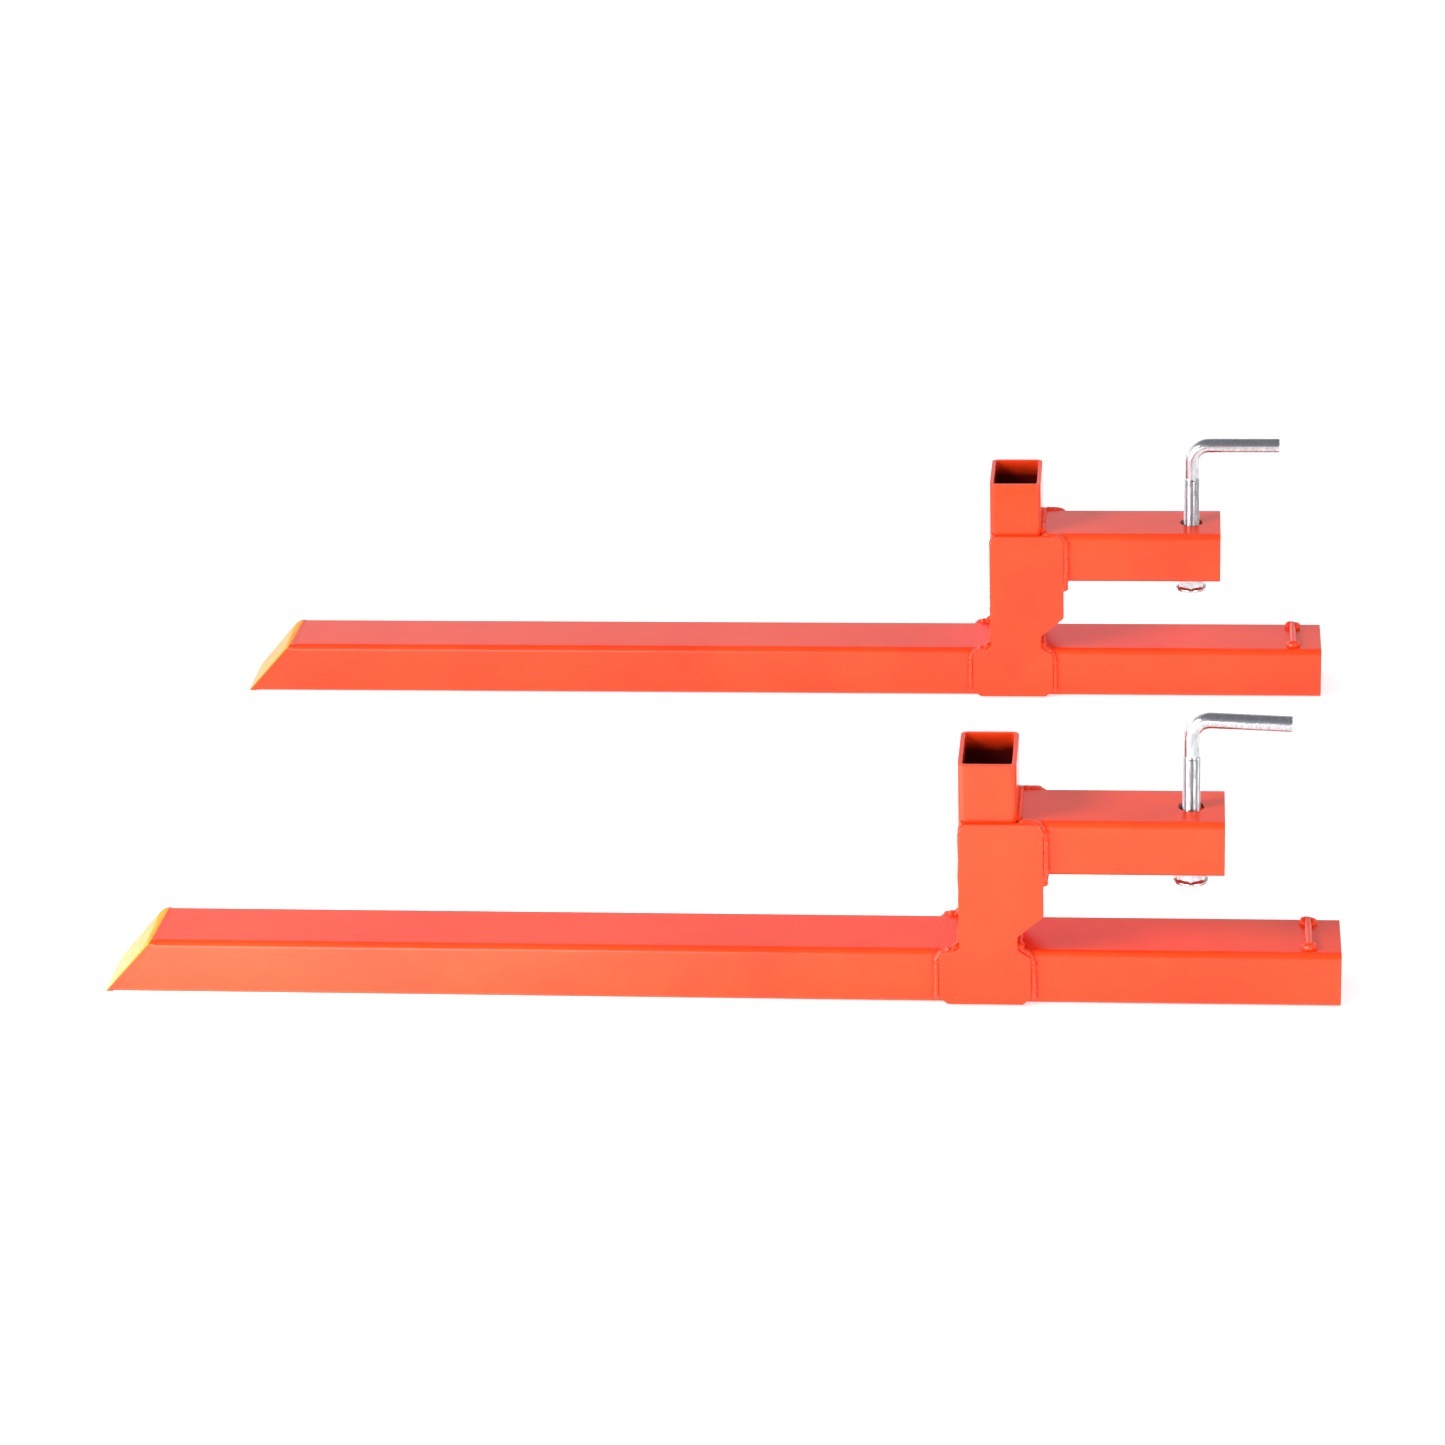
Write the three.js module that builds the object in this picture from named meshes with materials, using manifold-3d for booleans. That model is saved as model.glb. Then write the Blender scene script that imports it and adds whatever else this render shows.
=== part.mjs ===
// A pair of clamp-on pallet forks for a loader bucket, in millimetres.
// +X runs along the forks from the tips to the rear, +Y across from the left fork to the right one,
// +Z is up. The origin is at floor level, in the middle of the pair.
//
// Each fork is a weldment of rectangular tube: a long blade whose slanted tip is closed by a plate
// painted yellow, an open-topped upright standing on the blade, and an arm running rearwards from the
// upright above the blade's tail. A gusset plate on each side ties the three tubes together. The
// bucket's lip goes into the throat between the arm and the blade, and the L-handled screw in the arm
// presses its foot down on it.
import * as THREE from "three";
import { mergeVertices } from "three/addons/utils/BufferGeometryUtils.js";
import Module from "manifold-3d";

const wasm = await Module();
wasm.setup();

// Driving dimensions.
const SEAM = 0.3; // between welded or touching pieces
const RUNNING_GAP = 0.45; // all round a piece that turns inside another

const FORK_SPACING = 706; // centre to centre of the two forks
const TUBE_WIDTH = 76.2; // every tube is one stock section
const TUBE_HEIGHT = 50.8;
const TUBE_CORNER = 6; // outer corner radius
const TUBE_WALL = 4;

const CARRY_LENGTH = 761.6; // tip to the upright's front face, the length that goes under the load
const TAIL_LENGTH = 279.6; // blade behind the upright
const TIP_RUN = 44; // how far the tip's slope leans back over the blade's height
const TIP_PLATE = 5;

const UPRIGHT_HEIGHT = 226.5; // top of the upright above the floor

const THROAT = 71.8; // clear height between the blade and the arm
const ARM_REACH = 178.2; // from the upright's rear face to the arm's open end

const GUSSET = 5; // plate thickness
const GUSSET_CORNER = 7; // chamfer on the plates' outer corners
const GUSSET_ON_ARM = 22.6; // how far a plate runs along the arm behind the upright
const GUSSET_NECK = 12.8; // straight stretch over the foot, no wider than the upright
const GUSSET_SLOPE = 19.5; // height of the slope from the neck out to the full width
const GUSSET_TOE = 18; // overhang of its foot on the blade ahead of the upright
const GUSSET_HEEL = 11.5; // and behind it
const GUSSET_FOOT_EDGE = 1.5; // the plates stop this far above the blade's underside
const GUSSET_SHOULDER = 3; // the foot's top edge is this much above the blade

const BAR_DIAMETER = 6; // grip bar across the blade's tail
const BAR_INSET = 10.5; // its ends stop this far inside the blade's sides
const BAR_TO_TAIL = 28;

const SCREW_TO_ARM_END = 29;
const THREAD_DIAMETER = 15.7;
const THREAD_TOP = 48.6; // top of the thread above the arm
const ROD_DIAMETER = 14.2; // the plain rod above the thread
const HANDLE_RISE = 32.5; // the handle's axis above the thread
const HANDLE_BEND = 17; // centre-line radius of the bend
const HANDLE_REACH = 86.5; // from the screw's axis to the handle's end
const HANDLE_TURN = { left: -6, right: 0 }; // degrees about the screw, from straight back
const TOP_HOLE_CLEARANCE = 3.15; // all round the thread, in the arm's top wall
const BOTTOM_HOLE_CLEARANCE = 0.95; // and in its bottom wall

const NUT_FLATS = 24;
const NUT_HEIGHT = 13;
const FOOT_FLATS = 24;
const FOOT_HEIGHT = 16;
const FOOT_FLANGE_LIP = 1.65; // the flange stands this far outside the hexagon's corners
const FOOT_FLANGE_RIM = 2.6;
const FOOT_FLANGE_RISE = 2.2; // the flange thickens by this much from its rim to the hexagon
const FOOT_BELOW_ARM = 3.4; // gap from the arm down to the foot with the screw run up
const NOSE_DIAMETER = 9.6; // the screw's nose that the foot swivels on
const NOSE_HEAD_DIAMETER = 13; // peened over inside the foot's recess
const NOSE_HEAD = 2.6;
const NOSE_RECESS = 0.8; // the head stays this far inside the foot's face

// Sizes that follow.
const armBottom = TUBE_HEIGHT + THROAT;
const armTop = armBottom + TUBE_HEIGHT;
const uprightRear = CARRY_LENGTH + TUBE_HEIGHT;
const bladeLength = uprightRear + TAIL_LENGTH;
const armStart = uprightRear + SEAM;
const armEnd = uprightRear + ARM_REACH;
const screwAt = armEnd - SCREW_TO_ARM_END;
const footTop = armBottom - FOOT_BELOW_ARM;
const footBottom = footTop - FOOT_HEIGHT;
const threadTop = armTop + THREAD_TOP;

// Materials.
const powderCoat = () => new THREE.MeshStandardMaterial({ color: 0xf4502c, roughness: 0.35, metalness: 0 });
const tipPaint = () => new THREE.MeshStandardMaterial({ color: 0xf3a233, roughness: 0.4, metalness: 0 });
const zincPlate = () => new THREE.MeshStandardMaterial({ color: 0xc8cbce, roughness: 0.3, metalness: 1 });

// Closed solids from three.js geometries, and back.
function solid(geometry) {
  const bare = new THREE.BufferGeometry().setAttribute("position", geometry.getAttribute("position"));
  bare.setIndex(geometry.index);
  const merged = mergeVertices(bare, 1e-4);
  return new wasm.Manifold(
    new wasm.Mesh({
      numProp: 3,
      vertProperties: new Float32Array(merged.getAttribute("position").array),
      triVerts: new Uint32Array(merged.index.array),
    }),
  );
}

function geometryOf(body) {
  const mesh = body.getMesh();
  return new THREE.BufferGeometry()
    .setAttribute("position", new THREE.BufferAttribute(mesh.vertProperties, 3))
    .setIndex(new THREE.BufferAttribute(mesh.triVerts, 1))
    .toNonIndexed();
}

function piece(name, material, body) {
  const geometry = geometryOf(body);
  geometry.computeVertexNormals();
  const mesh = new THREE.Mesh(geometry, material());
  mesh.name = name;
  return mesh;
}

// Profiles.
function roundedRectangle(path, width, height, radius) {
  const x = width / 2 - radius;
  const y = height / 2 - radius;
  path.moveTo(-x, -y - radius);
  path.lineTo(x, -y - radius);
  path.absarc(x, -y, radius, -Math.PI / 2, 0);
  path.lineTo(x + radius, y);
  path.absarc(x, y, radius, 0, Math.PI / 2);
  path.lineTo(-x, y + radius);
  path.absarc(-x, y, radius, Math.PI / 2, Math.PI);
  path.lineTo(-x - radius, -y);
  path.absarc(-x, -y, radius, Math.PI, (3 * Math.PI) / 2);
  return path;
}

function tubeSection(hollow) {
  const section = roundedRectangle(new THREE.Shape(), TUBE_WIDTH, TUBE_HEIGHT, TUBE_CORNER);
  if (hollow) {
    const width = TUBE_WIDTH - 2 * TUBE_WALL;
    const height = TUBE_HEIGHT - 2 * TUBE_WALL;
    const corner = Math.max(TUBE_CORNER - TUBE_WALL, 0.5);
    section.holes.push(roundedRectangle(new THREE.Path(), width, height, corner));
  }
  return section;
}

const extrude = (shape, depth, curveSegments = 5) =>
  new THREE.ExtrudeGeometry(shape, { depth, bevelEnabled: false, curveSegments });

// A length of the stock section along +X, its wide side flat, with its underside at height z.
function levelTube(start, end, z, hollow = true) {
  return extrude(tubeSection(hollow), end - start)
    .rotateX(Math.PI / 2)
    .rotateZ(Math.PI / 2)
    .translate(start, 0, z + TUBE_HEIGHT / 2);
}

// An outline in the X-Z plane as a plate of the given thickness, centred on y.
function sidePlate(points, thickness, y = 0) {
  const shape = new THREE.Shape(points.map(([x, z]) => new THREE.Vector2(x, z)));
  return extrude(shape, thickness)
    .rotateX(Math.PI / 2)
    .translate(0, y + thickness / 2, 0);
}

function upDrill(diameter, x, low, high, sides = 40) {
  return solid(
    new THREE.CylinderGeometry(diameter / 2, diameter / 2, high - low, sides)
      .rotateX(Math.PI / 2)
      .translate(x, 0, (low + high) / 2),
  );
}

// A hexagon's corners point across the fork, so its flats lie front and rear.
function hexagon(flats, x, low, high) {
  const corner = flats / Math.sqrt(3);
  return solid(
    new THREE.CylinderGeometry(corner, corner, high - low, 6)
      .rotateX(Math.PI / 2)
      .translate(x, 0, (low + high) / 2),
  );
}

// Blade. Its tip is mitred on the slope, and the plate that closes it continues the section's outline.
const tipLean = Math.atan2(TUBE_HEIGHT, TIP_RUN);
const alongX = (thickness) => thickness / Math.sin(tipLean);

// Everything ahead of the slope that stands back from the tip's face by the given thickness.
function aheadOfSlope(setback) {
  const foot = alongX(setback);
  const far = -bladeLength;
  const over = TUBE_HEIGHT; // the cut runs this far past the blade above and below
  const lean = (TIP_RUN / TUBE_HEIGHT) * over;
  const outline = [
    [far, -over],
    [foot - lean, -over],
    [foot + TIP_RUN + lean, TUBE_HEIGHT + over],
    [far, TUBE_HEIGHT + over],
  ];
  return solid(sidePlate(outline, 2 * TUBE_WIDTH));
}

function bladeTube() {
  return solid(levelTube(0, bladeLength, 0)).subtract(aheadOfSlope(TIP_PLATE + SEAM));
}

function tipPlate() {
  const bar = solid(levelTube(0, 2 * TIP_RUN + 2 * alongX(TIP_PLATE), 0, false));
  return bar.subtract(aheadOfSlope(0)).intersect(aheadOfSlope(TIP_PLATE));
}

// Upright: the same section on end, open at the top.
function uprightTube() {
  const low = TUBE_HEIGHT + SEAM;
  return solid(
    extrude(tubeSection(true), UPRIGHT_HEIGHT - low)
      .rotateZ(Math.PI / 2)
      .translate(CARRY_LENGTH + TUBE_HEIGHT / 2, 0, low),
  );
}

// Arm, drilled for the screw: a wide hole above, a close one below.
function clampArm() {
  const middle = (armBottom + armTop) / 2;
  return solid(levelTube(armStart, armEnd, armBottom))
    .subtract(upDrill(THREAD_DIAMETER + 2 * TOP_HOLE_CLEARANCE, screwAt, middle, armTop + TUBE_WALL))
    .subtract(upDrill(THREAD_DIAMETER + 2 * BOTTOM_HOLE_CLEARANCE, screwAt, armBottom - TUBE_WALL, middle));
}

// Gusset: covers the upright's side from the blade's underside to the arm's top.
function gussetOutline() {
  const c = GUSSET_CORNER;
  const top = armTop;
  const front = CARRY_LENGTH + SEAM;
  const rear = uprightRear + GUSSET_ON_ARM;
  const neck = uprightRear - SEAM;
  const toe = CARRY_LENGTH - GUSSET_TOE;
  const heel = uprightRear + GUSSET_HEEL;
  const shoulder = TUBE_HEIGHT + GUSSET_SHOULDER;
  const neckTop = shoulder + GUSSET_NECK;
  const low = GUSSET_FOOT_EDGE;
  return [
    [toe + c, low],
    [heel - c, low],
    [heel, low + c],
    [heel, shoulder - c],
    [neck, shoulder],
    [neck, neckTop],
    [rear, neckTop + GUSSET_SLOPE],
    [rear, top - c],
    [rear - 0.6 * c, top],
    [front + c, top],
    [front, top - c],
    [front, shoulder],
    [toe, shoulder - 0.4 * c],
    [toe, low + c],
  ];
}

function gusset(side) {
  return solid(sidePlate(gussetOutline(), GUSSET, side * (TUBE_WIDTH / 2 + SEAM + GUSSET / 2)));
}

function gripBar() {
  const length = TUBE_WIDTH - 2 * BAR_INSET;
  return solid(
    new THREE.CylinderGeometry(BAR_DIAMETER / 2, BAR_DIAMETER / 2, length, 20).translate(
      bladeLength - BAR_TO_TAIL,
      0,
      TUBE_HEIGHT + SEAM + BAR_DIAMETER / 2,
    ),
  );
}

// Clamp nut: stands on the arm's bottom wall, inside the tube.
function clampNut() {
  const low = armBottom + TUBE_WALL + SEAM;
  const bore = THREAD_DIAMETER + 2 * RUNNING_GAP;
  return hexagon(NUT_FLATS, screwAt, low, low + NUT_HEIGHT).subtract(
    upDrill(bore, screwAt, low - 1, low + NUT_HEIGHT + 1),
  );
}

// The rod's centre line: up out of the thread, round the bend and out along the handle.
class CrankLine extends THREE.Curve {
  constructor(rise, bend, reach) {
    super();
    this.rise = rise;
    this.bend = bend;
    this.reach = reach;
    this.arc = (bend * Math.PI) / 2;
  }
  getPoint(t, target = new THREE.Vector3()) {
    const s = t * (this.rise + this.arc + this.reach);
    if (s <= this.rise) return target.set(0, 0, s);
    const past = s - this.rise - this.arc;
    if (past >= 0) return target.set(this.bend + past, 0, this.rise + this.bend);
    const angle = (s - this.rise) / this.bend;
    return target.set(this.bend * (1 - Math.cos(angle)), 0, this.rise + this.bend * Math.sin(angle));
  }
}

// Screw, about its own axis at x = 0: nose and thread are turned, the rod above is bent over as a handle.
function clampScrew() {
  const nose = NOSE_DIAMETER / 2;
  const head = NOSE_HEAD_DIAMETER / 2;
  const thread = THREAD_DIAMETER / 2;
  const headLow = footBottom + NOSE_RECESS;
  const shoulder = footTop + RUNNING_GAP;
  const threadLead = 1; // chamfer at both ends of the thread
  const profile = [
    [0, headLow],
    [head - 0.8, headLow],
    [head, headLow + 0.8],
    [head, headLow + NOSE_HEAD],
    [nose, headLow + NOSE_HEAD],
    [nose, shoulder],
    [thread - threadLead, shoulder],
    [thread, shoulder + threadLead],
    [thread, threadTop - threadLead],
    [thread - threadLead, threadTop],
    [0, threadTop],
  ].map(([r, z]) => new THREE.Vector2(r, z));
  const turned = solid(new THREE.LatheGeometry(profile, 36).rotateX(Math.PI / 2));

  const rooted = 8; // the rod starts this far down inside the turned part
  const line = new CrankLine(rooted + HANDLE_RISE - HANDLE_BEND, HANDLE_BEND, HANDLE_REACH - HANDLE_BEND);
  const section = new THREE.Shape().absarc(0, 0, ROD_DIAMETER / 2, 0, 2 * Math.PI);
  const rod = new THREE.ExtrudeGeometry(section, { extrudePath: line, steps: 40, curveSegments: 12 });
  return turned.add(solid(rod.translate(0, 0, threadTop - rooted)));
}

// Foot: a hexagon on a coned flange, bored for the nose and recessed below for its head.
function pressureFoot() {
  const flange = FOOT_FLATS / Math.sqrt(3) + FOOT_FLANGE_LIP;
  const cone = FOOT_FLATS / 2;
  const bore = NOSE_DIAMETER / 2 + RUNNING_GAP;
  const recess = NOSE_HEAD_DIAMETER / 2 + RUNNING_GAP;
  const recessTop = footBottom + NOSE_RECESS + NOSE_HEAD + RUNNING_GAP;
  const skirt = [
    [0, footBottom],
    [flange - 0.5, footBottom],
    [flange, footBottom + 0.5],
    [flange, footBottom + FOOT_FLANGE_RIM],
    [cone, footBottom + FOOT_FLANGE_RIM + FOOT_FLANGE_RISE],
    [0, footBottom + FOOT_FLANGE_RIM + FOOT_FLANGE_RISE],
  ].map(([r, z]) => new THREE.Vector2(r, z));
  const disc = solid(new THREE.LatheGeometry(skirt, 36).rotateX(Math.PI / 2));
  return hexagon(FOOT_FLATS, 0, footBottom + FOOT_FLANGE_RIM / 2, footTop)
    .add(disc)
    .subtract(upDrill(2 * bore, 0, footBottom - 1, footTop + 1))
    .subtract(upDrill(2 * recess, 0, footBottom - 1, recessTop));
}

// One whole fork, its tip at x = 0 and its middle at y = 0. The gusset that faces the other fork is the
// inner one.
function fork(name, outward) {
  const group = new THREE.Group();
  group.add(
    piece(`${name}_blade_tube`, powderCoat, bladeTube()),
    piece(`${name}_tip_plate`, tipPaint, tipPlate()),
    piece(`${name}_upright_tube`, powderCoat, uprightTube()),
    piece(`${name}_clamp_arm`, powderCoat, clampArm()),
    piece(`${name}_outer_gusset`, powderCoat, gusset(outward)),
    piece(`${name}_inner_gusset`, powderCoat, gusset(-outward)),
    piece(`${name}_grip_bar`, powderCoat, gripBar()),
    piece(`${name}_clamp_nut`, powderCoat, clampNut()),
  );
  const screw = piece(`${name}_clamp_screw`, zincPlate, clampScrew());
  screw.position.x = screwAt;
  screw.rotation.z = THREE.MathUtils.degToRad(HANDLE_TURN[name]);
  const foot = piece(`${name}_pressure_foot`, zincPlate, pressureFoot());
  foot.position.x = screwAt;
  group.add(screw, foot);
  return group;
}

const forks = new THREE.Group();
for (const [name, side] of [
  ["left", -1],
  ["right", 1],
]) {
  const one = fork(name, side);
  one.position.set(-bladeLength / 2, (side * FORK_SPACING) / 2, 0);
  forks.add(one);
}

export default forks;
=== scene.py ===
import math

import bmesh
import bpy
from mathutils import Matrix, Vector, noise


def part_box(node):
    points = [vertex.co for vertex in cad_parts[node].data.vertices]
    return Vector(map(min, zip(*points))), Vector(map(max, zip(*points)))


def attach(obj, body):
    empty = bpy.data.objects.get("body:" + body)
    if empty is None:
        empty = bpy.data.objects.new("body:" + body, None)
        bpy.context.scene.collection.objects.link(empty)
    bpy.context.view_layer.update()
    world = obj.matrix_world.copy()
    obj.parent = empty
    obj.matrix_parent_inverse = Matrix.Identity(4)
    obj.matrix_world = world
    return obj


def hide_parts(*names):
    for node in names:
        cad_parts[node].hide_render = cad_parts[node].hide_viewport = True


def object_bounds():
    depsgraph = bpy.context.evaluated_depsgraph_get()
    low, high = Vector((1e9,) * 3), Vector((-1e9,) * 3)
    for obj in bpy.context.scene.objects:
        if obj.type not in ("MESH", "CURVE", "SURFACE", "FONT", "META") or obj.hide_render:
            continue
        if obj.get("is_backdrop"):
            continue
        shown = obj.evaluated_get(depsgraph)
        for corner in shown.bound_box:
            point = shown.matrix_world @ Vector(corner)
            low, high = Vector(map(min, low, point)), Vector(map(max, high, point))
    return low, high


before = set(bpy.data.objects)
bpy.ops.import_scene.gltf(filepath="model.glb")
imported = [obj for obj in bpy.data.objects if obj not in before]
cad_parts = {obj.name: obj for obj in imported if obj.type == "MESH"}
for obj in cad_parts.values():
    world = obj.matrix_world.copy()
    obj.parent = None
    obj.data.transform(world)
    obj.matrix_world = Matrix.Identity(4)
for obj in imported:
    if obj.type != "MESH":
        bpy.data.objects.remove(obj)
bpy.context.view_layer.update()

# ---------------------------------------------------------------------------------------------------
# Blades. Each is one length of 3 by 2 inch rectangular steel tube laid flat, saw-cut square at the tail
# and mitred at the tip. Blades, uprights and arms are powder coated orange after welding, and the powder
# reaches only a hand's width into the open ends; inside, painted shade darkens the thinning coat.
# ---------------------------------------------------------------------------------------------------
MM = 0.001
FORKS = ("left", "right")
TUBE_WALL = 4 * MM
TUBE_CORNER = 6 * MM
CUT_EDGE = 0.6 * MM  # the coat rounds every cut edge this much
COAT_REACH = 50 * MM  # into an open tube
RAGGED = 10 * MM  # the coat's inner edge wanders this much
BUTT = 0.3 * MM  # a butted end runs on this far, up to its neighbour
COAT_ROUGHNESS = (0.17, 0.28)
BARE_ROUGHNESS = 0.6
ORANGE = (0.9, 0.054, 0.007)
DEEP_ORANGE = (0.84, 0.04, 0.005)
# The thin coat inside an open tube, darker than bare steel: painted shade laid into the coat's colour.
THIN_COAT_AND_SHADE = (0.1, 0.004, 0.002)
BARE_STEEL = (0.11, 0.085, 0.075)


def add(tree, kind, **settings):
    """A node in the tree. A setting names one of its properties or sockets."""
    node = tree.nodes.new(kind)
    for name, value in settings.items():
        if name in node.bl_rna.properties:
            setattr(node, name, value)
        else:
            node.inputs[name.replace("_", " ")].default_value = value
    return node


def between(tree, share, first, second):
    """The colour that is a share of the way from first to second, each a triple or an output. A Mix
    node's colour sockets are reached by number, because its other sockets have the same names."""
    mix = add(tree, "ShaderNodeMix", data_type="RGBA")
    tree.links.new(share, mix.inputs[0])
    for number, colour in ((6, first), (7, second)):
        if isinstance(colour, tuple):
            mix.inputs[number].default_value = (*colour, 1)
        else:
            tree.links.new(colour, mix.inputs[number])
    return mix.outputs[2]


def orange_coat(name, reach=None):
    """Glossy powder coat: fine orange peel, slow waves in the surface and faint changes of depth. With
    reach, which is (axis, full up to, bare from), it goes thin, dark with painted shade, then bare on that
    axis."""
    material = bpy.data.materials.new(name)
    material.use_nodes = True
    tree = material.node_tree
    link = tree.links.new
    shader = tree.nodes["Principled BSDF"]
    shader.inputs["IOR"].default_value = 1.45
    place = add(tree, "ShaderNodeTexCoord").outputs["Object"]

    depth = add(tree, "ShaderNodeTexNoise", Scale=9.0, Detail=4.0, Roughness=0.6)
    link(place, depth.inputs["Vector"])
    spread = add(tree, "ShaderNodeMapRange", From_Min=0.35, From_Max=0.7)
    link(depth.outputs["Fac"], spread.inputs["Value"])
    colour = between(tree, spread.outputs["Result"], ORANGE, DEEP_ORANGE)

    cloud = add(tree, "ShaderNodeTexNoise", Scale=22.0, Detail=5.0, Roughness=0.65)
    link(place, cloud.inputs["Vector"])
    gloss = add(tree, "ShaderNodeMapRange", From_Min=0.3, From_Max=0.75)
    gloss.inputs["To Min"].default_value = COAT_ROUGHNESS[0]
    gloss.inputs["To Max"].default_value = COAT_ROUGHNESS[1]
    link(cloud.outputs["Fac"], gloss.inputs["Value"])
    roughness = gloss.outputs["Result"]

    if reach is not None:
        axis, full, bare = reach
        split = add(tree, "ShaderNodeSeparateXYZ")
        link(place, split.inputs["Vector"])
        fade = add(tree, "ShaderNodeMapRange", interpolation_type="SMOOTHSTEP")
        fade.inputs["From Min"].default_value = full
        fade.inputs["From Max"].default_value = bare
        ragged = add(tree, "ShaderNodeMath", operation="MULTIPLY_ADD")
        ragged.inputs[1].default_value = RAGGED
        link(cloud.outputs["Fac"], ragged.inputs[0])
        link(split.outputs[axis], ragged.inputs[2])
        link(ragged.outputs["Value"], fade.inputs["Value"])
        # The first step darkens the thinning coat with painted shade; the second runs on to bare steel.
        for shade, start, end in ((THIN_COAT_AND_SHADE, 0.0, 0.22), (BARE_STEEL, 0.45, 1.0)):
            gone = add(tree, "ShaderNodeMapRange", From_Min=start, From_Max=end)
            link(fade.outputs["Result"], gone.inputs["Value"])
            colour = between(tree, gone.outputs["Result"], colour, shade)
        dull = add(tree, "ShaderNodeMix")
        dull.inputs[3].default_value = BARE_ROUGHNESS
        link(fade.outputs["Result"], dull.inputs[0])
        link(roughness, dull.inputs[2])
        roughness = dull.outputs[0]

    link(colour, shader.inputs["Base Color"])
    link(roughness, shader.inputs["Roughness"])

    peel = add(tree, "ShaderNodeTexNoise", Scale=520.0, Detail=2.0, Roughness=0.5)
    link(place, peel.inputs["Vector"])
    wave = add(tree, "ShaderNodeTexNoise", Scale=30.0, Detail=1.0, Roughness=0.4)
    link(place, wave.inputs["Vector"])
    slow = add(tree, "ShaderNodeBump", Strength=0.35, Distance=0.0002)
    link(wave.outputs["Fac"], slow.inputs["Height"])
    fine = add(tree, "ShaderNodeBump", Strength=0.3, Distance=0.00005)
    link(peel.outputs["Fac"], fine.inputs["Height"])
    link(slow.outputs["Normal"], fine.inputs["Normal"])
    link(fine.outputs["Normal"], shader.inputs["Normal"])
    return material


def section(width, height, corner, steps=8):
    """The tube's rounded outline, counter-clockwise, as (across, up) from its middle."""
    outline = []
    for quarter, (side, end) in enumerate(((1, -1), (1, 1), (-1, 1), (-1, -1))):
        for step in range(steps + 1):
            angle = math.radians(90 * (quarter - 1 + step / steps))
            across = side * (width / 2 - corner) + corner * math.cos(angle)
            up = end * (height / 2 - corner) + corner * math.sin(angle)
            outline.append((across, up))
    return outline


def skin(name, rings, closed=False, slots=None, caps=(0, 0)):
    """A new mesh object skinned over rings of points. A closed one joins the last ring to the first, and
    any other gets a cap at each end. Slots and caps give a material's number for each band and cap."""
    built = bmesh.new()
    rows = [[built.verts.new(point) for point in ring] for ring in rings]
    count = len(rows[0])
    bands = list(zip(rows, rows[1:] + rows[:1])) if closed else list(zip(rows, rows[1:]))
    for number, (low, high) in enumerate(bands):
        for k in range(count):
            after = (k + 1) % count
            face = built.faces.new((low[k], low[after], high[after], high[k]))
            face.material_index = slots[number] if slots else 0
    if not closed:
        built.faces.new(rows[0][::-1]).material_index = caps[0]
        built.faces.new(rows[-1]).material_index = caps[1]
    bmesh.ops.recalc_face_normals(built, faces=built.faces)
    mesh = bpy.data.meshes.new(name)
    built.to_mesh(mesh)
    built.free()
    piece = bpy.data.objects.new(name, mesh)
    bpy.context.scene.collection.objects.link(piece)
    return piece


def settle(piece, body, slot, nodes, *materials, crease=38):
    """Smooth shading up to a crease, flats kept flat, then the piece's materials and body. Slot is not used.
    """
    piece.data.shade_smooth()
    piece.data.set_sharp_from_angle(angle=math.radians(crease))
    flats = piece.modifiers.new("flats", "WEIGHTED_NORMAL")
    flats.keep_sharp = True
    flats.weight = 80
    for material in materials:
        piece.data.materials.append(material)
    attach(piece, body)
    if nodes:
        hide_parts(*nodes)


def tube(name, lay, start, end, width, height, mitre=None):
    """A length of tube, its inside in material 1. Lay turns (along, across, up) into a point. Mitre, if
    given, says how far back the cut at the start lies at each height in the section."""

    def ring(along, inset, mitred=False):
        outline = section(width - 2 * inset, height - 2 * inset, max(TUBE_CORNER - inset, 3 * MM))
        return [lay(along + (mitre(up) if mitred else 0), across, up) for across, up in outline]

    def rim(at, outward):
        """(along, inset) round a square-cut end, from the outside face to the inside one."""
        turn = [math.radians(30 * k) for k in range(4)]
        outer = [(at - outward * CUT_EDGE * (1 - math.sin(a)), CUT_EDGE * (1 - math.cos(a))) for a in turn]
        inner = [
            (at - outward * CUT_EDGE * (1 - math.cos(a)), TUBE_WALL - CUT_EDGE * (1 - math.sin(a)))
            for a in turn
        ]
        return outer + inner

    end_rim = [ring(along, inset) for along, inset in rim(end, 1)]
    if mitre:
        start_rim = [ring(start, TUBE_WALL, True), ring(start, 0, True)]
    else:
        start_rim = [ring(along, inset) for along, inset in reversed(rim(start, -1))]
    rings = end_rim + start_rim
    slots = [0] * len(rings)
    slots[len(end_rim) - 1] = 1
    return skin(name, rings, closed=True, slots=slots)


coat = orange_coat("orange_powder_coat")
for fork in FORKS:
    low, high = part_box(f"{fork}_blade_tube")
    tip_low, tip_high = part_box(f"{fork}_tip_plate")
    middle = (low.y + high.y) / 2
    half_height = (high.z - low.z) / 2
    tip_run = tip_high.x - low.x  # the mitre leans back this far over the blade's height
    blade = tube(
        f"{fork}_blade",
        lambda along, across, up: Vector((along, middle + across, half_height + up)),
        low.x - BUTT,
        high.x,
        high.y - low.y,
        high.z - low.z,
        mitre=lambda up: tip_run * (up + half_height) / (2 * half_height),
    )
    tail = orange_coat(f"{fork}_blade_inside", reach=("X", high.x, high.x - 3 * COAT_REACH))
    settle(blade, f"{fork}_fork", "orange_powder_coat", [f"{fork}_blade_tube"], coat, tail)

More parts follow.
